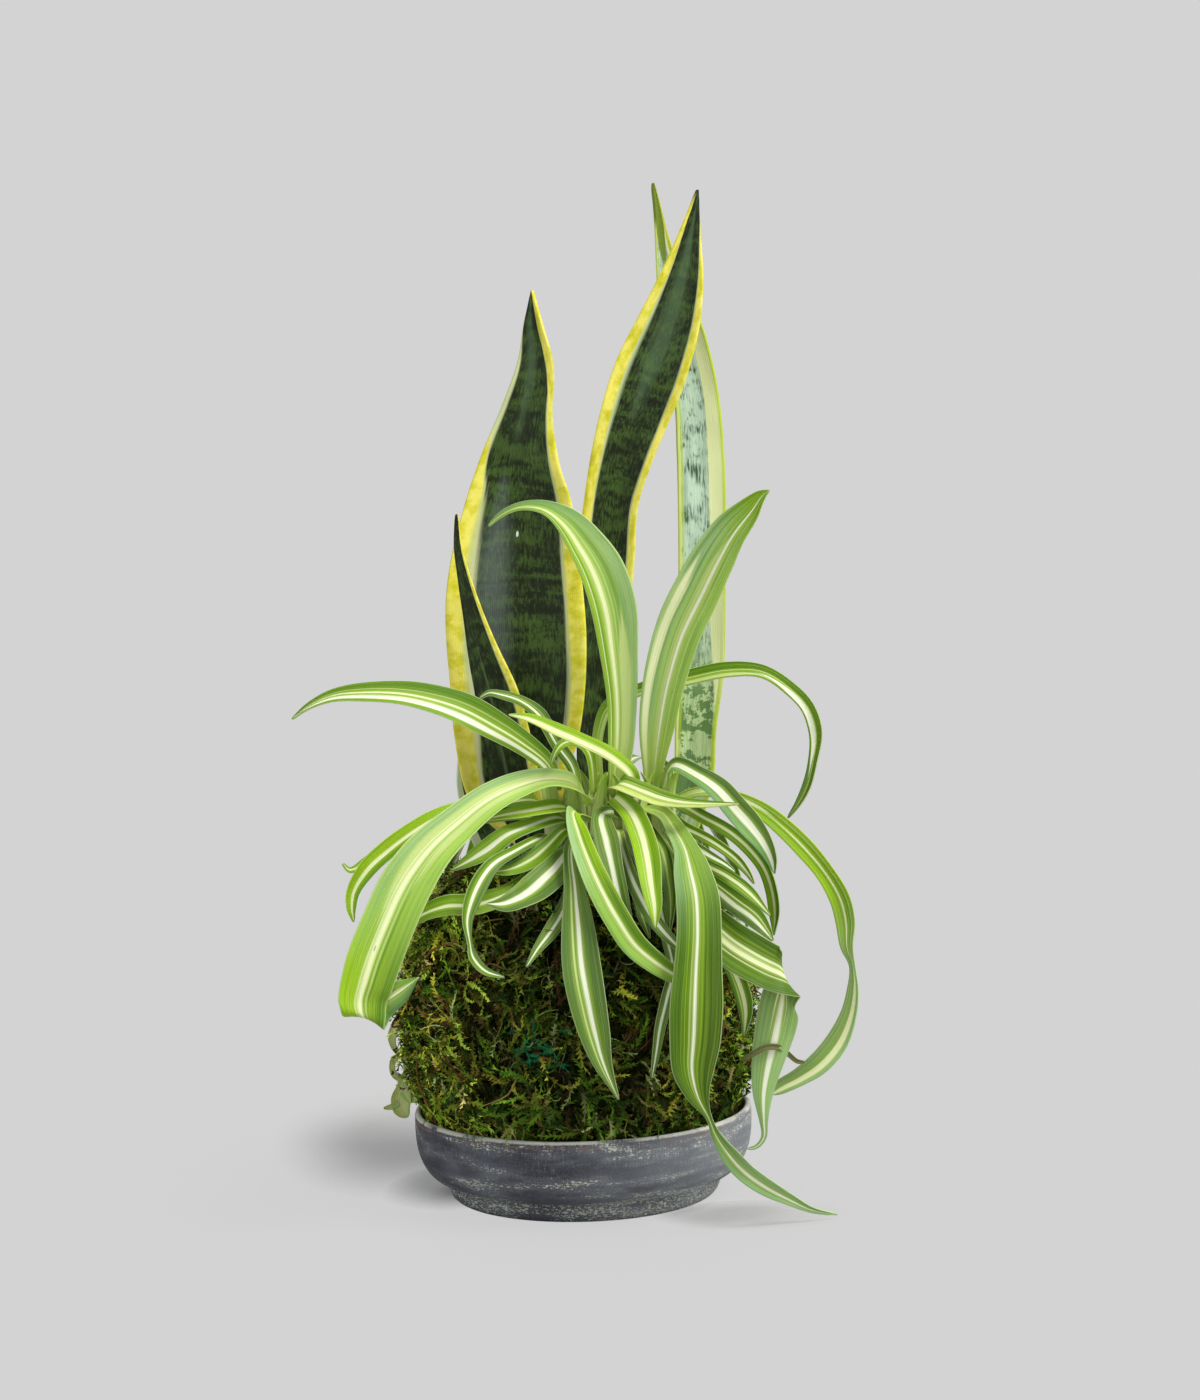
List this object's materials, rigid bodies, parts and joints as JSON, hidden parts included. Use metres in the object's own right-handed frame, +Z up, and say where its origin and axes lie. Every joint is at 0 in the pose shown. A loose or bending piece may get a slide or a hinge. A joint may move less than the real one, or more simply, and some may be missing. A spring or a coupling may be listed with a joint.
{
  "type": "kokedama moss ball plant",
  "caption": "Moss-wrapped ball of soil planted with upright snake plant leaves and arching striped spider plant leaves, standing in a round stoneware saucer.",
  "frame": {"origin": "centre of the saucer's flat underside", "axes": "+Z up, -Y towards the front of the plant, +X to its right"},
  "size_m": [0.2365, 0.2302, 0.4482],
  "materials": {
    "saucer_stoneware": "matt slate-grey stoneware with pale dry-brushed wear and a worn rim",
    "moss": "matt, feathery sheet moss in yellow-green to dark green",
    "soil": "dark crumbly potting soil",
    "leaf_bases": "pale, slightly waxy leaf bases",
    "snake_plant_leaf": "waxy dark green with mottled cross bands and yellow margins",
    "spider_plant_leaf": "satin green with cream and white stripes along the leaf"
  },
  "bodies": {
    "root": {"saucer": "saucer_stoneware", "moss_wrap": "moss", "soil_core": "soil", "spider_crown": "leaf_bases", "rear_crown": "leaf_bases", "snake_leaf_1": "snake_plant_leaf", "snake_leaf_2": "snake_plant_leaf", "snake_leaf_3": "snake_plant_leaf", "snake_leaf_4": "snake_plant_leaf", "snake_leaf_5": "snake_plant_leaf", "spider_leaf_01": "spider_plant_leaf", "spider_leaf_02": "spider_plant_leaf", "spider_leaf_03": "spider_plant_leaf", "spider_leaf_04": "spider_plant_leaf", "spider_leaf_05": "spider_plant_leaf", "spider_leaf_06": "spider_plant_leaf", "spider_leaf_07": "spider_plant_leaf", "spider_leaf_08": "spider_plant_leaf", "spider_leaf_09": "spider_plant_leaf", "spider_leaf_10": "spider_plant_leaf", "spider_leaf_11": "spider_plant_leaf", "spider_leaf_12": "spider_plant_leaf", "spider_leaf_13": "spider_plant_leaf", "spider_leaf_14": "spider_plant_leaf", "spider_leaf_15": "spider_plant_leaf", "spider_leaf_16": "spider_plant_leaf", "spider_leaf_17": "spider_plant_leaf", "spider_leaf_18": "spider_plant_leaf", "spider_leaf_19": "spider_plant_leaf", "spider_leaf_20": "spider_plant_leaf", "spider_leaf_21": "spider_plant_leaf", "spider_leaf_22": "spider_plant_leaf", "spider_leaf_23": "spider_plant_leaf", "spider_leaf_24": "spider_plant_leaf", "spider_leaf_25": "spider_plant_leaf", "spider_leaf_26": "spider_plant_leaf", "spider_leaf_27": "spider_plant_leaf", "spider_leaf_28": "spider_plant_leaf", "spider_leaf_29": "spider_plant_leaf", "spider_leaf_30": "spider_plant_leaf", "spider_leaf_31": "spider_plant_leaf", "spider_leaf_32": "spider_plant_leaf", "spider_leaf_33": "spider_plant_leaf", "spider_leaf_34": "spider_plant_leaf", "spider_leaf_35": "spider_plant_leaf", "spider_leaf_36": "spider_plant_leaf", "rear_leaf_1": "spider_plant_leaf", "rear_leaf_2": "spider_plant_leaf", "rear_leaf_3": "spider_plant_leaf", "rear_leaf_4": "spider_plant_leaf", "rear_leaf_5": "spider_plant_leaf", "rear_leaf_6": "spider_plant_leaf", "rear_leaf_7": "spider_plant_leaf", "rear_leaf_8": "spider_plant_leaf"}
  },
  "joints": []
}
